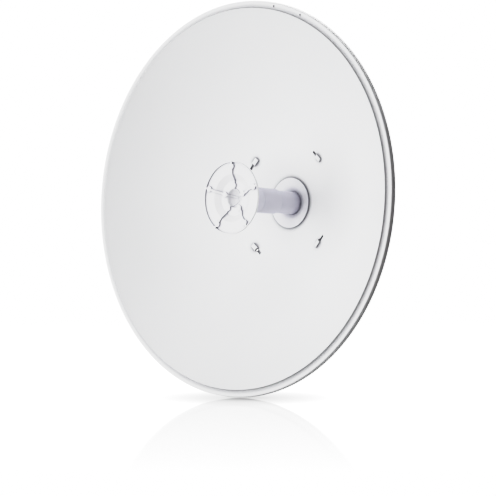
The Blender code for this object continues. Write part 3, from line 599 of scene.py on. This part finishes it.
# name, side, half width, near and outer face, start, wall left at the end, rounding, operation
lance_steps = (
    ("raised_block", 1, LANCE_HALF_WIDTH, -SHEET / 2, LANCE_HEIGHT, -LANCE_OVERLAP, 0,
     LANCE_ROUNDING, "UNION"),
    ("pressed_block", -1, LANCE_HALF_WIDTH, SHEET / 8, pressed_depth, -LANCE_OVERLAP / 2, 0,
     LANCE_ROUNDING, "UNION"),
    ("raised_hollow", 1, inner_width, -POCKET_FLOOR, inner_height, -2 * LANCE_OVERLAP,
     LANCE_WALL, 0, "DIFFERENCE"),
    ("pressed_hollow", -1, inner_width, -LANCE_CUT_DEPTH, LANCE_HEIGHT, -2 * LANCE_OVERLAP,
     LANCE_WALL, 0, "DIFFERENCE"),
)
for index in range(LANCE_COUNT):
    for name, *measures, operation in lance_steps:
        combine(reflector, lance_block(f"{name}_{index}", index, *measures), operation)
print("reflector faces with lances:", len(reflector.data.polygons))

# %% [markdown]
# ## Two small holes in the flange
#
# Near its top the flange has two small round holes. A cylinder could cut right through the
# sheet, but then the white room behind would shine through, while the photo shows them dark. So
# each is a blind hollow that stops just short of the sheet's rear.

# %% Cut the holes
# degrees from the top, towards the right
RIM_HOLE_ANGLES = (7.4, 18.4)
RIM_HOLE_RADIUS = 0.0020
RIM_HOLE_CIRCLE = 0.3199
RIM_HOLE_DEPTH = 0.0013
RIM_HOLE_SIDES = 24

for degrees in RIM_HOLE_ANGLES:
    hole = pin(math.radians(90 - degrees), RIM_HOLE_CIRCLE, FLANGE_AHEAD, RIM_HOLE_RADIUS,
               2 * RIM_HOLE_DEPTH, RIM_HOLE_SIDES)
    combine(reflector, hole, "DIFFERENCE")
settle(reflector)
stands_for(reflector, "reflector", powder_coat)
print("holes in the flange:", len(RIM_HOLE_ANGLES))

# %% [markdown]
# ## The feed's flange and tube
#
# A moulded flange, a shallow funnel, seats the feed in the bowl's hole. From its throat rises a
# thinner rear tube, then a wider front tube and, past a fine seam, the collar that carries the
# splash plate. All are turned from their sections, with a small rounding on every edge, as a
# mould leaves it.

# %% Measures of the flange and the tubes
GAP = 0.0003
FEED_FLANGE_RADIUS = 0.0411
FEED_FLANGE_BACK = bowl_ahead(FEED_FLANGE_RADIUS) + GAP
FEED_FLANGE_EDGE_FRONT = 0.0047
THROAT_AHEAD = -0.0012
THROAT_RADIUS = 0.0192
SEAT_AHEAD = -0.0045
HUB_RADIUS = 0.0360
HUB_REAR = -0.0090
NECK_RADIUS = 0.0200
NECK_REAR = -0.0240
TUBE_BORE = 0.0155
REAR_TUBE_RADIUS = 0.0185
FRONT_TUBE_RADIUS = 0.0210
FRONT_TUBE_BORE = 0.0180
TUBE_STEP_AHEAD = 0.0440
TUBE_CHAMFER = 0.0008
TUBE_SEAM_AHEAD = 0.0860
PLATE_RIM_AHEAD = 0.1463
PLATE_STEP_DEPTH = 0.0090
PLATE_WALL = 0.0018
COLLAR_END = PLATE_RIM_AHEAD - PLATE_STEP_DEPTH - PLATE_WALL - GAP
FLANGE_SEGMENTS = 128
TUBE_SEGMENTS = 96
FLANGE_ROUNDING = 0.0006
TUBE_ROUNDING = 0.0003
MOULD_STEPS = 3
print("the feed reaches", round(PLATE_RIM_AHEAD * 1000), "mm ahead of the vertex")

# %% Flange and tubes
feed_flange = turned("feed_flange_moulding", [
    (TUBE_BORE, SEAT_AHEAD),
    (THROAT_RADIUS, SEAT_AHEAD),
    (THROAT_RADIUS, THROAT_AHEAD),
    (FEED_FLANGE_RADIUS, FEED_FLANGE_EDGE_FRONT),
    (FEED_FLANGE_RADIUS, FEED_FLANGE_BACK),
    (HUB_RADIUS, FEED_FLANGE_BACK),
    (HUB_RADIUS, HUB_REAR),
    (NECK_RADIUS, HUB_REAR),
    (NECK_RADIUS, NECK_REAR),
    (TUBE_BORE, NECK_REAR),
], FLANGE_SEGMENTS, FLANGE_ROUNDING, MOULD_STEPS)
stands_for(feed_flange, "feed_base_flange", flange_plastic)

rear_tube = turned("feed_rear_tube", [
    (TUBE_BORE, SEAT_AHEAD + GAP),
    (REAR_TUBE_RADIUS, SEAT_AHEAD + GAP),
    (REAR_TUBE_RADIUS, TUBE_STEP_AHEAD),
    (TUBE_BORE, TUBE_STEP_AHEAD),
], TUBE_SEGMENTS, TUBE_ROUNDING)
stands_for(rear_tube, "feed_tube_rear", tube_plastic)

front_tube = turned("feed_front_tube", [
    (TUBE_BORE, TUBE_STEP_AHEAD + GAP),
    (FRONT_TUBE_RADIUS - TUBE_CHAMFER, TUBE_STEP_AHEAD + GAP),
    (FRONT_TUBE_RADIUS, TUBE_STEP_AHEAD + GAP + TUBE_CHAMFER),
    (FRONT_TUBE_RADIUS, TUBE_SEAM_AHEAD),
    (TUBE_BORE, TUBE_SEAM_AHEAD),
], TUBE_SEGMENTS, TUBE_ROUNDING)
stands_for(front_tube, "feed_tube_front", tube_plastic)

collar = turned("feed_collar", [
    (FRONT_TUBE_BORE, TUBE_SEAM_AHEAD + GAP),
    (FRONT_TUBE_RADIUS, TUBE_SEAM_AHEAD + GAP),
    (FRONT_TUBE_RADIUS, COLLAR_END),
    (FRONT_TUBE_BORE, COLLAR_END),
], TUBE_SEGMENTS, TUBE_ROUNDING)
stands_for(collar, "splash_plate_collar", tube_plastic)
print("tube pieces:", rear_tube.name, front_tube.name, collar.name)

# %% [markdown]
# ## The splash plate
#
# The plate throws the wave back onto the bowl. Its face steps down twice: from the thin rim to
# a flat ring, over a slope to an inner ring, and then into a cup with a steep wall and a rounded
# bottom. It is one turned section, out along the face to the rim and back behind it. A section
# cannot reach the axis, so the cup's bottom keeps a pinhole of under a tenth of a millimetre,
# too fine to show.

# %% Measures of the splash plate
# the cup's points are radius and depth below the rim
PLATE_RADIUS = 0.0600
PLATE_LIP = 0.0014
PLATE_RING_DEPTH = 0.0028
PLATE_SLOPE_RADIUS = 0.0399
PLATE_STEP_RADIUS = 0.0292
PLATE_THROAT_RADIUS = 0.0162
PLATE_THROAT_WALL = 0.00126
CUP_FRONT = ((0.0151, 0.0142), (0.0102, 0.0192), (0.0040, 0.0225))
CUP_BACK = ((0.0166, 0.0152), (0.0112, 0.0208), (0.0045, 0.0243))
PLATE_CUP_DEPTH = 0.0236
PLATE_BACK_DEPTH = 0.0259
PLATE_BACK_CHAMFER = 0.0010
PINHOLE_RADIUS = 0.00004
PLATE_SEGMENTS = 144
PLATE_ROUNDING = 0.0004
print("splash plate:", round(2 * PLATE_RADIUS * 1000), "mm across")

# %% Turn the splash plate
rim = PLATE_RIM_AHEAD
ring_back = rim - PLATE_RING_DEPTH - PLATE_WALL
step_back = rim - PLATE_STEP_DEPTH - PLATE_WALL
splash_plate = turned("splash_plate_moulding", [
    (PLATE_THROAT_RADIUS, rim - PLATE_STEP_DEPTH),
    (PLATE_STEP_RADIUS, rim - PLATE_STEP_DEPTH),
    (PLATE_SLOPE_RADIUS, rim - PLATE_RING_DEPTH),
    (PLATE_RADIUS - PLATE_LIP, rim - PLATE_RING_DEPTH),
    (PLATE_RADIUS - PLATE_LIP, rim),
    (PLATE_RADIUS, rim),
    (PLATE_RADIUS, ring_back + PLATE_BACK_CHAMFER),
    (PLATE_RADIUS - PLATE_BACK_CHAMFER, ring_back),
    (PLATE_SLOPE_RADIUS + PLATE_WALL / 2, ring_back),
    (PLATE_STEP_RADIUS + PLATE_WALL / 2, step_back),
    (PLATE_THROAT_RADIUS + PLATE_THROAT_WALL, step_back),
    *[(reach, rim - depth) for reach, depth in CUP_BACK],
    (PINHOLE_RADIUS, rim - PLATE_BACK_DEPTH),
    (PINHOLE_RADIUS, rim - PLATE_CUP_DEPTH),
    *[(reach, rim - depth) for reach, depth in CUP_FRONT[::-1]],
], PLATE_SEGMENTS, PLATE_ROUNDING, MOULD_STEPS)
stands_for(splash_plate, "splash_plate", plate_plastic)
print("splash plate faces:", len(splash_plate.data.polygons))

# %% [markdown]
# ## Five ribs across the plate
#
# A rib grows out of the cup, follows the plate's face to the rim, crosses it, and carries two
# round bosses where the mould's ejector pins push. Its side view is drawn point by point, by
# extruding the one vertex that a plane merges to, then filled and pulled out to the rib's
# width. Every rib has its own mesh, drawn from the same side view and stood at its own angle.

# %% Draw a side view and pull it out to a width
def pulled_out(name, outline, width, place):
    """A flat outline of (x, y), as thick as the width about local z, then moved by a matrix."""
    bpy.ops.object.select_all(action="DESELECT")
    bpy.ops.mesh.primitive_plane_add()
    piece = bpy.context.object
    piece.name = name
    bpy.ops.object.mode_set(mode="EDIT")
    bpy.ops.mesh.select_all(action="SELECT")
    bpy.ops.mesh.merge(type="CENTER")
    here = Vector((*outline[0], -width / 2))
    bpy.ops.transform.translate(value=here)
    for x, y in outline[1:]:
        after = Vector((x, y, -width / 2))
        bpy.ops.mesh.extrude_region_move(TRANSFORM_OT_translate={"value": after - here})
        here = after
    bpy.ops.mesh.select_all(action="SELECT")
    bpy.ops.mesh.edge_face_add()
    bpy.ops.mesh.extrude_region_move(TRANSFORM_OT_translate={"value": (0, 0, width)})
    close_and_face_out(piece)
    piece.matrix_world = place
    only(piece)
    bpy.ops.object.transform_apply(location=True, rotation=True, scale=True)
    return piece


# %% Measures of the ribs
# a boss has a reach from the boresight and a radius, and angles are in degrees
RIB_COUNT = 5
RIB_FIRST_ANGLE = 93.0
RIB_WIDTH = 0.0034
RIB_HEIGHT = 0.0026
RIB_OUTER_BOSS = (0.0518, 0.0048)
RIB_INNER_BOSS = (0.0206, 0.0043)
RIB_BOSS_LIFT = 0.0004
RIB_RIM_LIFT = 0.0010
RIB_PAST_RIM = 0.0006
RIB_END_RAMP = 0.0010
RIB_SLOPE_SHIFT = 0.0012
RIB_CUP_END = 0.0033
RIB_CUP_END_DROP = 0.0001
RIB_CUP_HEIGHT = 0.0006
RIB_SINK = 0.0003
RIB_BOSS_SIDES = 32
RIB_ROUNDING = 0.00035
RIB_SMOOTH = 40
print("ribs:", RIB_COUNT, "of", round(RIB_WIDTH * 1000, 1), "mm")

# %% Side view of a rib
rim_inside = PLATE_RADIUS - PLATE_LIP
ring_top = rim - PLATE_RING_DEPTH + RIB_HEIGHT
step_top = rim - PLATE_STEP_DEPTH + RIB_HEIGHT
in_cup = [(reach, rim - depth) for reach, depth in CUP_FRONT[:2]]
cup_end = rim - CUP_FRONT[2][1] - RIB_CUP_END_DROP
rib_outline = [
    (RIB_CUP_END, cup_end - RIB_SINK),
    *[(reach, ahead - RIB_SINK) for reach, ahead in in_cup[::-1]],
    (PLATE_THROAT_RADIUS, rim - PLATE_STEP_DEPTH - RIB_SINK),
    (PLATE_STEP_RADIUS, rim - PLATE_STEP_DEPTH - RIB_SINK),
    (PLATE_SLOPE_RADIUS, rim - PLATE_RING_DEPTH - RIB_SINK),
    (rim_inside + RIB_SINK, rim - PLATE_RING_DEPTH - RIB_SINK),
    (rim_inside + RIB_SINK, rim - RIB_SINK),
    (PLATE_RADIUS + RIB_PAST_RIM, rim - RIB_SINK),
    (PLATE_RADIUS + RIB_PAST_RIM, rim + RIB_RIM_LIFT),
    (rim_inside - 2 * RIB_END_RAMP, rim + RIB_RIM_LIFT),
    (rim_inside - 3 * RIB_END_RAMP, ring_top),
    (PLATE_SLOPE_RADIUS - RIB_SLOPE_SHIFT, ring_top),
    (PLATE_STEP_RADIUS - RIB_SLOPE_SHIFT, step_top),
    (PLATE_THROAT_RADIUS - RIB_SLOPE_SHIFT, step_top),
    *[(reach - RIB_CUP_HEIGHT, ahead + RIB_CUP_HEIGHT) for reach, ahead in in_cup],
    (RIB_CUP_END, cup_end + RIB_CUP_HEIGHT),
]
print("points in a rib's side view:", len(rib_outline))


# %% Model the ribs
def rib_place(angle):
    """A rib's side view stands on the boresight: x outwards, y ahead."""
    outward = Vector((math.cos(angle), 0, math.sin(angle)))
    ahead = Vector((0, -1, 0))
    turn = Matrix((outward, ahead, outward.cross(ahead))).transposed().to_4x4()
    return Matrix.Translation(vertex) @ turn


boss_height = RIB_HEIGHT + RIB_BOSS_LIFT + RIB_SINK
for index in range(RIB_COUNT):
    angle = math.radians(RIB_FIRST_ANGLE + 360 / RIB_COUNT * index)
    rib = pulled_out(f"rib_{index + 1}", rib_outline, RIB_WIDTH, rib_place(angle))
    for (reach, boss_radius), top in ((RIB_OUTER_BOSS, ring_top), (RIB_INNER_BOSS, step_top)):
        boss_middle = top + RIB_BOSS_LIFT - boss_height / 2
        boss = pin(angle, reach, boss_middle, boss_radius, boss_height, RIB_BOSS_SIDES)
        combine(rib, boss, "UNION")
    soften_edges(rib, RIB_ROUNDING)
    settle(rib, RIB_SMOOTH)
    stands_for(rib, f"splash_plate_rib_{index + 1}", plate_plastic)
print("faces of the last rib:", len(rib.data.polygons))

# %% [markdown]
# ## Broken edges on the rear pieces
#
# Behind the bowl sit the feed's rear end, the hub plate, the bracket, the clamps and their
# bolts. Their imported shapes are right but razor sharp. A copy of each is merged, its flat faces
# are joined again, and every edge is broken by a few tenths of a millimetre, as deburring, the
# zinc and the mould leave it.

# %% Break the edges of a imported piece
# in degrees
FLAT_WITHIN = 1
REAR_SHARP = 35


def break_edges(node, width, finish):
    """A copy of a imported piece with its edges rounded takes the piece's place."""
    only(frame["nodes"][node])
    bpy.ops.object.duplicate()
    piece = bpy.context.object
    piece.name = f"{node}_deburred"
    bpy.ops.object.parent_clear(type="CLEAR_KEEP_TRANSFORM")
    close_and_face_out(piece)
    edit(piece)
    bpy.ops.mesh.select_all(action="SELECT")
    bpy.ops.mesh.dissolve_limited(angle_limit=math.radians(FLAT_WITHIN))
    bpy.ops.object.mode_set(mode="OBJECT")
    soften_edges(piece, width, sharper_than=REAR_SHARP)
    settle(piece, REAR_SHARP)
    stands_for(piece, node, finish)


# %% Dress the rear
# how the nodes' names start, width of the broken edge, finish, slot
REAR_KINDS = (
    (("hub_plate", "tilt_arm", "pole_bracket", "pole_clamp"),
     0.0004, galvanised, "galvanised_steel"),
    (("hub_bolt", "pivot_bolt", "tilt_lock_bolt", "clamp_bolt", "clamp_nut"),
     0.0003, plated_zinc, "zinc_bolt"),
    (("feed_connector",),
     0.0002, plated_brass, "connector_metal"),
    (("hub_spacer", "feed_ring_nut", "feed_rear_body"),
     0.0005, tube_plastic, "feed_plastic"),
)
for starts, width, finish, slot in REAR_KINDS:
    nodes = [name for name in frame["nodes"] if name.startswith(starts)]
    for name in nodes:
        break_edges(name, width, finish)
    print(slot, "on", len(nodes), "pieces")

# %% [markdown]
# ## A floor that only shows what stands on it
#
# The photo stands the dish on a glossy white table that is as white as the room behind it, so
# only two things tell where the floor is: a thin contact shade under the rim, and a mirror image
# that fades with the distance from the dish. The floor passes under the rim's lowest point,
# square to the tipped upright, and glows white by itself. It casts no shadow, so that the
# lights from below reach the dish. The contact shade is a soft ellipse in the floor's own
# coordinates, long in the direction that the photo looks in, and darkens glow and mirror. The
# photo looks almost along the floor and foreshortens it 57 times, which is why the shade is
# long and the mirror image reaches seven metres.

# %% The floor
FLOOR_RADIUS = 13.0
FLOOR_SIDES = 128
FLOOR_GAP = 0.0005
contact = min(reflector.data.vertices, key=lambda corner: corner.co.dot(floor_up)).co.copy()
bpy.ops.object.select_all(action="DESELECT")
bpy.ops.mesh.primitive_circle_add(vertices=FLOOR_SIDES, radius=FLOOR_RADIUS,
                                  fill_type="NGON",
                                  location=contact - floor_up * FLOOR_GAP,
                                  rotation=(DISH_PITCH, 0, 0))
floor = bpy.context.object
floor.name = "studio_floor"
floor.visible_shadow = False
print("the floor meets the rim at", [round(c, 4) for c in contact])

# %% White glossy floor
WHITE_LEVEL = 6.0
FLOOR_BOUNCE = 0.11
REFLECTION_AT_DISH = 0.50
REFLECTION_REACH = 7.0
SHADE_HALF_WIDTH = 0.197
SHADE_HALF_LENGTH = 0.95
SHADE_LEFT = 0.18
SHADE_CENTRE = (0.0060, 0.0056, 0)


def make_floor_finish():
    """White lacquered board whose mirror image fades away from the dish."""
    finish = bpy.data.materials.new("white_lacquered_board")
    finish.use_nodes = True
    tree = finish.node_tree
    tree.nodes.clear()
    place = add_node(tree, "ShaderNodeTexCoord").outputs["Object"]
    distance = add_node(tree, "ShaderNodeVectorMath", links={0: place}, operation="LENGTH")
    fade = add_node(tree, "ShaderNodeMapRange",
                    {"From Max": REFLECTION_REACH, "To Min": REFLECTION_AT_DISH, "To Max": 0.0},
                    {"Value": distance.outputs["Value"]})
    ellipse = add_node(tree, "ShaderNodeMapping",
                       {"Location": SHADE_CENTRE, "Rotation": (0, 0, CAMERA_AZIMUTH),
                        "Scale": (SHADE_HALF_WIDTH, SHADE_HALF_LENGTH, 1)},
                       {"Vector": place}, vector_type="TEXTURE")
    reach = add_node(tree, "ShaderNodeVectorMath", links={0: ellipse.outputs["Vector"]},
                     operation="LENGTH")
    shade = add_node(tree, "ShaderNodeMapRange", {"To Min": SHADE_LEFT, "To Max": 1.0},
                     {"Value": reach.outputs["Value"]}, interpolation_type="SMOOTHSTEP")
    glow = add_node(tree, "ShaderNodeMath", {1: WHITE_LEVEL}, {0: shade.outputs["Result"]},
                    operation="MULTIPLY")
    ray = add_node(tree, "ShaderNodeLightPath")
    strength = add_node(tree, "ShaderNodeMix", {"A": FLOOR_BOUNCE},
                        {"Factor": ray.outputs["Is Camera Ray"], "B": glow.outputs["Value"]})
    board = add_node(tree, "ShaderNodeEmission", {"Color": (1, 1, 1, 1)},
                     {"Strength": strength.outputs["Result"]})
    mirror = add_node(tree, "ShaderNodeBsdfGlossy", {"Roughness": 0.02},
                      {"Color": shade.outputs["Result"]})
    mixed = add_node(tree, "ShaderNodeMixShader",
                     links={"Fac": fade.outputs["Result"], 1: board.outputs["Emission"],
                            2: mirror.outputs["BSDF"]})
    add_node(tree, "ShaderNodeOutputMaterial", links={"Surface": mixed.outputs["Shader"]})
    return finish


floor.data.materials.append(make_floor_finish())
print("floor finish:", floor.data.materials[0].name)

# %% [markdown]
# ## Light and the photo's tone
#
# The photo has almost no shading across the bowl, yet walls that face right are dark grey. That
# is a large soft light ahead and to the left, weaker ones ahead, above and below, some light from
# behind on the left, and a print with a short toe and a long shoulder. Soft suns give the lights,
# each from its azimuth, counted from straight ahead of the dish towards its right, and its
# elevation. A tone curve on the view gives the print: levels near zero go darker, and levels from
# one to six close up to white.

# %% Soft lights
# name, azimuth, elevation and softness in degrees, level
LIGHTS = (
    ("light_ahead_left", -35, 0, 50, 1.42),
    ("light_ahead", 6, 0, 20, 0.55),
    ("light_high_ahead", 0, 35, 50, 0.32),
    ("light_overhead", 0, 70, 50, 0.32),
    ("light_low_ahead", -35, -35, 50, 0.27),
    ("light_rear_left", -140, 0, 50, 0.50),
    ("light_rear_left_high", -140, 35, 50, 0.70),
    ("light_rear_left_low", -140, -35, 50, 0.42),
    ("light_behind", -165, 8, 55, 1.25),
)

for name, azimuth, elevation, softness, level in LIGHTS:
    side = math.radians(azimuth)
    rise = math.radians(elevation)
    comes_from = tip @ Vector((math.sin(side) * math.cos(rise), -math.cos(side) * math.cos(rise),
                               math.sin(rise)))
    bpy.ops.object.light_add(type="SUN")
    lamp = bpy.context.object
    lamp.name = name
    lamp.data.energy = math.pi * level
    lamp.data.angle = math.radians(softness)
    lamp.rotation_mode = "QUATERNION"
    lamp.rotation_quaternion = comes_from.to_track_quat("Z", "Y")
print("lights:", len(LIGHTS))

# %% White room
ROOM_FILL = 0.05
WALL_EDGE = 0.94
WALL_FULL = 0.97


def make_room():
    """A white room for the camera, a dim one for all other rays.

    The floor's mirror finds a white wall only where it throws the photo's line of sight.
    """
    room = bpy.data.worlds.new("white_room")
    bpy.context.scene.world = room
    room.use_nodes = True
    tree = room.node_tree
    tree.nodes.clear()
    ray = add_node(tree, "ShaderNodeLightPath")
    direction = add_node(tree, "ShaderNodeTexCoord").outputs["Generated"]
    mirrored = -back + 2 * back.dot(floor_up) * floor_up
    behind = add_node(tree, "ShaderNodeVectorMath", {1: mirrored}, {0: direction},
                      operation="DOT_PRODUCT")
    wall = add_node(tree, "ShaderNodeMapRange",
                    {"From Min": WALL_EDGE, "From Max": WALL_FULL,
                     "To Min": ROOM_FILL, "To Max": WHITE_LEVEL},
                    {"Value": behind.outputs["Value"]})
    for_mirror = add_node(tree, "ShaderNodeMix", {"A": ROOM_FILL},
                          {"Factor": ray.outputs["Is Glossy Ray"], "B": wall.outputs["Result"]})
    for_camera = add_node(tree, "ShaderNodeMix", {"B": WHITE_LEVEL},
                          {"Factor": ray.outputs["Is Camera Ray"],
                           "A": for_mirror.outputs["Result"]})
    white = add_node(tree, "ShaderNodeBackground", {"Color": (1, 1, 1, 1)},
                     {"Strength": for_camera.outputs["Result"]})
    add_node(tree, "ShaderNodeOutputWorld", links={"Surface": white.outputs["Background"]})


make_room()
print("room fill:", ROOM_FILL)

# %% The print's tone curve
TOE = 1.7
SHOULDER = 0.79
CLOSING_FROM = 1.0
TONE_STOPS = (0.1, 0.2, 0.3, 0.45, 0.6, 0.8, 1.0, 1.4, 2.0, 3.0, 4.5)
ALL_CHANNELS = 3


def tone(level):
    """What the print makes of a light level."""
    pressed = SHOULDER * (1 - math.exp(-level**TOE / SHOULDER))
    past = max(0.0, (level - CLOSING_FROM) / (WHITE_LEVEL - CLOSING_FROM))
    return pressed + (1 - SHOULDER) * past


view = bpy.context.scene.view_settings
view.view_transform = "Standard"
view.use_curve_mapping = True
view.curve_mapping.white_level = (WHITE_LEVEL, WHITE_LEVEL, WHITE_LEVEL)
curve = view.curve_mapping.curves[ALL_CHANNELS]
for stop in TONE_STOPS:
    curve.points.new(stop / WHITE_LEVEL, tone(stop))
view.curve_mapping.update()
print("a level of 2 prints as", round(tone(2.0), 3))
